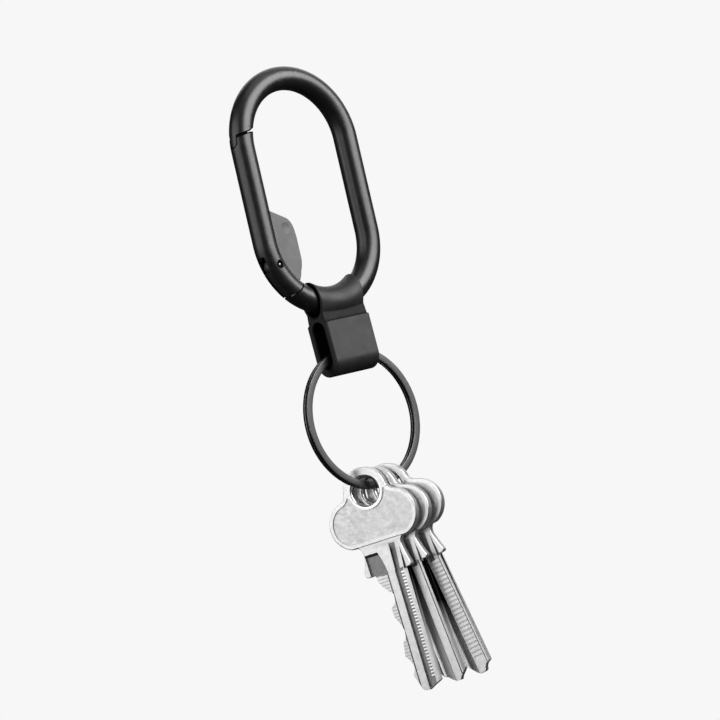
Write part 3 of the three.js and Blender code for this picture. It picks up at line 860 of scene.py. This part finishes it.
def bars(start, pitch, count, height, left, right):
    """Short bars across a blade, in one mesh. left and right hold x, and the bars' bottom and top."""
    points, faces = [], []
    for i in range(count):
        y, low = start - i * pitch, len(points)
        for (x, bottom, top), dy in ((left, 0), (right, 0), (right, height), (left, height)):
            points += [(x, y - dy, bottom), (x, y - dy, top)]
        a, b, c, d = (low + 2 * k for k in range(4))
        sides = ((a, b), (b, c), (c, d), (d, a))
        faces += [(p, q, q + 1, p + 1) for p, q in sides]
        faces += [(d, c, b, a), (a + 1, b + 1, c + 1, d + 1)]
    tool = add("bars", points, faces)
    make_outward(tool)
    return tool


def panel_tool(side):
    """What the sunk panel takes away from one face of the bow."""
    inset, top, depth = 0.95, -0.6, 0.3
    right = [p for p in bow_outline(inset) if p[0] > 0 and p[1] < top]
    first = math.degrees(math.asin((top - 0.5 - HOLE[1]) / RIM_R))
    inner = arc(HOLE, RIM_R, first, -180 - first, 40)
    shape = right + inner + [(-x, y) for x, y in reversed(right)]
    ends = sorted((side * (BOW_HALF - depth), side * (BOW_HALF + 1)))
    # The panel's walls in painted shade.
    return painted(prism("panel", shape, *ends, on_xy), KEY_PANEL, KEY_SHADE)


def sunk(outline, floor, floors, walls, run):
    """What a recess takes away from the front. Its top end slopes down to the floor over this run."""
    if area(outline) < 0:
        outline = outline[::-1]
    top = max(y for _, y in outline)
    low = [(x, y - run if y > top - 0.5 else y) for x, y in outline]
    stops = ((low, floor), (outline, NECK_HALF), (outline, 2))
    tool = loft("sunk", [[Vector((x, y, z)) for x, y in shape] for shape, z in stops])
    return painted(tool, floors, walls, 0.95)


def key_body(index):
    foot = SHOULDERS[index]
    body = prism("bow", bow_outline(0), -BOW_HALF, BOW_HALF, on_xy, edge=0.22)
    # The bow's walls in painted shade.
    painted(body, KEY_RIM, KEY_WALL_SHADE, 0.2)
    neck = prism("neck", neck_outline(foot), -NECK_HALF, NECK_HALF, on_xy, edge=0.15)
    combine(body, painted(neck, KEY_FACE), "UNION")
    if index == 0:
        ridge = [(-0.15, -15), (-0.15, BLADE_TIP + 0.6), (0.8, BLADE_TIP + 0.1)]
        ridge += [(1.75, BLADE_TIP + 0.9), (1.75, -15)]
        combine(body, painted(prism("ridge", ridge, 0, NECK_HALF, on_xy), KEY_FACE), "UNION")
    combine(body, blade(index, foot), "UNION")
    window = [(-5.0, -15.7), (-1.45, -15.7)] + curve((-1.45, -15.7), (-0.6, -17.6), (-0.1, foot), 8)
    window += [(-0.1, foot - 0.5), (-4.85, foot - 0.5)]
    groove = [(2.1, -14.3), (1.85, foot - 1), (3.2, foot - 1), (3.25, foot - 0.4), (3.75, -14.5)]
    wedge = [(4.75, -15.3), (4.3, foot - 0.4), (5.1, foot - 0.4)]
    cut(body, panel_tool(1), panel_tool(-1))
    # The window's floor in painted shadow; its walls, and the groove and wedge, in painted shade.
    cut(body, sunk(window, 0.25, KEY_SHADOW, KEY_GROOVE_SHADE, 0.7))
    cut(body, sunk(groove, 0.25, KEY_GROOVE_SHADE, KEY_GROOVE_SHADE, 1.5))
    cut(body, sunk(wedge, 0.4, KEY_GROOVE_SHADE, KEY_GROOVE_SHADE, 0))
    round_hole = arc(HOLE, KEY_HOLE_R, 0, 354, 59)
    hole = prism("hole", round_hole, -BOW_HALF, BOW_HALF, on_xy, edge=-HOLE_FLARE, steps=5)
    # The hole's flare in painted highlight, its wall in painted shade.
    cut(body, painted(hole, KEY_EDGE_HIGHLIGHT, KEY_WALL_SHADE, 0.2))
    if index == 0:
        rungs = bars(foot - 0.7, RUNG_PITCH, 33, 0.42, (3.2, 0.3, 0.9), (4.1, 0.3, 0.95))
        # The rungs in painted highlight.
        combine(body, painted(rungs, KEY_EDGE_HIGHLIGHT), "UNION")
        hatching = bars(foot - 0.3, RUNG_PITCH, 30, 0.28, (-5, 0.12, 2), (-0.8, 0.32, 2))
        # The hatching's cut faces in painted shade.
        cut(body, painted(hatching, KEY_SHADE))
    if index == 2:
        ticks = bars(foot - 0.5, TICK_PITCH, 24, 0.45, (1.5, 0.86, 2), (4.2, 0.72, 2))
        # The ticks' cut faces in painted shade.
        cut(body, painted(ticks, KEY_SHADE))
    return body


KEY_CUTS = [
    [(0, -21.2), (0.25, -22.9), (0.45, -23.5), (1.95, -25.5), (3.1, -26.5), (3.5, -26.8),
     (3.2, -28.7), (1.6, -30.1), (1.8, -32.5), (2.9, -34.6), (3.5, -36.3), (3.2, -37.8),
     (2.0, -39.1), (1.5, -42.4), (2.6, -43.8), (3.1, -45.2), (3.0, -46.1), (2.2, -47.3), (3.0, -49.5)],
    [(0, -21.2), (0.2, -23.2), (1.4, -25.2), (2.2, -26.4), (2.2, -27.4), (1.2, -29.2), (2.8, -31.2),
     (3.0, -32.6), (2.8, -33.8), (1.4, -36), (1.4, -38.6), (2.0, -40.6), (2.4, -42), (2.4, -43.2),
     (1.6, -45), (1.8, -47.6), (2.9, -49.6)],
    [(0, -21.2), (0.2, -23.0), (2.2, -25.8), (3.2, -26.8), (3.0, -28), (1.6, -30), (1.6, -31.4),
     (2.4, -33), (2.6, -34.4), (1.2, -37.2), (2.2, -39.8), (2.5, -41), (2.4, -42.4), (1.5, -44.4),
     (1.9, -47.2), (3.1, -49.8)],
]


KEY_TIPS = [
    [(0.2, BLADE_TIP + 0.25), (0.8, BLADE_TIP), (1.5, BLADE_TIP), (3.1, -51.1), (MASK_RIGHT, -50.1)],
    [(-0.3, -49.9), (0.4, -50.7), (1.4, -51.5), (2.8, -51.6), (3.2, -50.9), (MASK_RIGHT, -48.8)],
    [(-0.3, -50.6), (0.5, -51.6), (1.2, -52.1), (2.6, -52.1), (3.1, -51.8), (3.3, -51.1), (3.9, -50.4),
     (MASK_RIGHT, -49.8)],
]


def key(index):
    joint = f"key_{index + 1}_swing"
    face = Vector(JOINTS[joint]["axis"]).normalized()
    right = Z.cross(face)
    facing = Matrix((right, Z, face)).transposed().to_4x4()
    place = Matrix.Translation(pivot(joint)) @ facing @ Matrix.Rotation(KEY_SWINGS[index], 4, "Z")
    body = moved(key_body(index), place @ Matrix.Translation((0, -KEY_HANG, 0)))
    name = f"key_{index + 1}"
    return finished(body, f"door_{name}", name, name, [], 30)


# ---- Camera ----
TURN, DIP, ROLL = math.radians(40.95), math.radians(-3.68), math.radians(13.04)
DISTANCE = 1.0
AIM_SHIFT = (13.67, -42.49)  # of the camera's aim from the oval's middle, along its right and up


def camera_axes():
    """The camera's right and up, and the way back from the object to it."""
    back = Vector((-math.sin(TURN) * math.cos(DIP), -math.cos(TURN) * math.cos(DIP), math.sin(DIP)))
    right = Vector((math.cos(TURN), -math.sin(TURN), 0))
    up = back.cross(right)
    return (
        math.cos(ROLL) * right - math.sin(ROLL) * up,
        math.cos(ROLL) * up + math.sin(ROLL) * right,
        back,
    )


def camera():
    data = bpy.data.cameras.new("camera")
    data.lens, data.sensor_width = 200, 36
    data.clip_start, data.clip_end = 0.05, 20
    data.dof.use_dof = False
    made = bpy.data.objects.new("camera", data)
    bpy.context.scene.collection.objects.link(made)
    right, up, back = camera_axes()
    aim = AIM_SHIFT[0] * right + AIM_SHIFT[1] * up + Z * (LOW.z + STRAIGHT / 2)
    axes = Matrix((right, up, back)).transposed().to_4x4()
    made.matrix_world = Matrix.Translation(aim * MM + back * DISTANCE) @ axes
    bpy.context.scene.camera = made


camera()
for make in (carabiner_rod, gate_rod, thumb_tab, pin, plunger, coil_spring, keeper, split_ring):
    make()
for number in range(len(KEY_SWINGS)):
    key(number)


# ---- Studio ----
def area_light(name, direction, size, strength, distance=0.9):
    """A soft box. Its direction is in degrees, round to the camera's right, and up."""
    data = bpy.data.lights.new(name, "AREA")
    data.shape = "RECTANGLE"
    data.size, data.size_y = size
    data.energy = strength * math.pi * size[0] * size[1]
    light = bpy.data.objects.new(name, data)
    bpy.context.scene.collection.objects.link(light)
    centre = (CAD_BOX[0] + CAD_BOX[1]) / 2
    turn, rise = (math.radians(a) for a in direction)
    right, up, back = camera_axes()
    away = math.cos(rise) * (math.sin(turn) * right + math.cos(turn) * back) + math.sin(rise) * up
    light.location = centre + away * distance
    light.rotation_mode = "QUATERNION"
    light.rotation_quaternion = away.to_track_quat("Z", "Y")


def studio():
    scene = bpy.context.scene
    scene.view_settings.view_transform = "Standard"
    world = bpy.data.worlds.new("studio")
    world.use_nodes = True
    scene.world = world
    tree = world.node_tree
    shown, cast = tree.nodes["Background"], tree.nodes.new("ShaderNodeBackground")
    shown.inputs["Color"].default_value = (0.93, 0.93, 0.93, 1)
    cast.inputs["Color"].default_value = (1, 1, 1, 1)
    cast.inputs["Strength"].default_value = 0.03
    path, mix = tree.nodes.new("ShaderNodeLightPath"), tree.nodes.new("ShaderNodeMixShader")
    tree.links.new(path.outputs["Is Camera Ray"], mix.inputs["Fac"])
    tree.links.new(cast.outputs["Background"], mix.inputs[1])
    tree.links.new(shown.outputs["Background"], mix.inputs[2])
    tree.links.new(mix.outputs["Shader"], tree.nodes["World Output"].inputs["Surface"])

    area_light("key_box", (67, 38), (1.0, 0.72), 7.6)
    area_light("left_box", (-58, 12), (1.1, 0.85), 2.0)
    area_light("top_box", (60, 84), (0.7, 0.7), 0.9)
    area_light("back_box", (180, 35), (1.0, 0.8), 1.2)


studio()

bpy.context.view_layer.update()
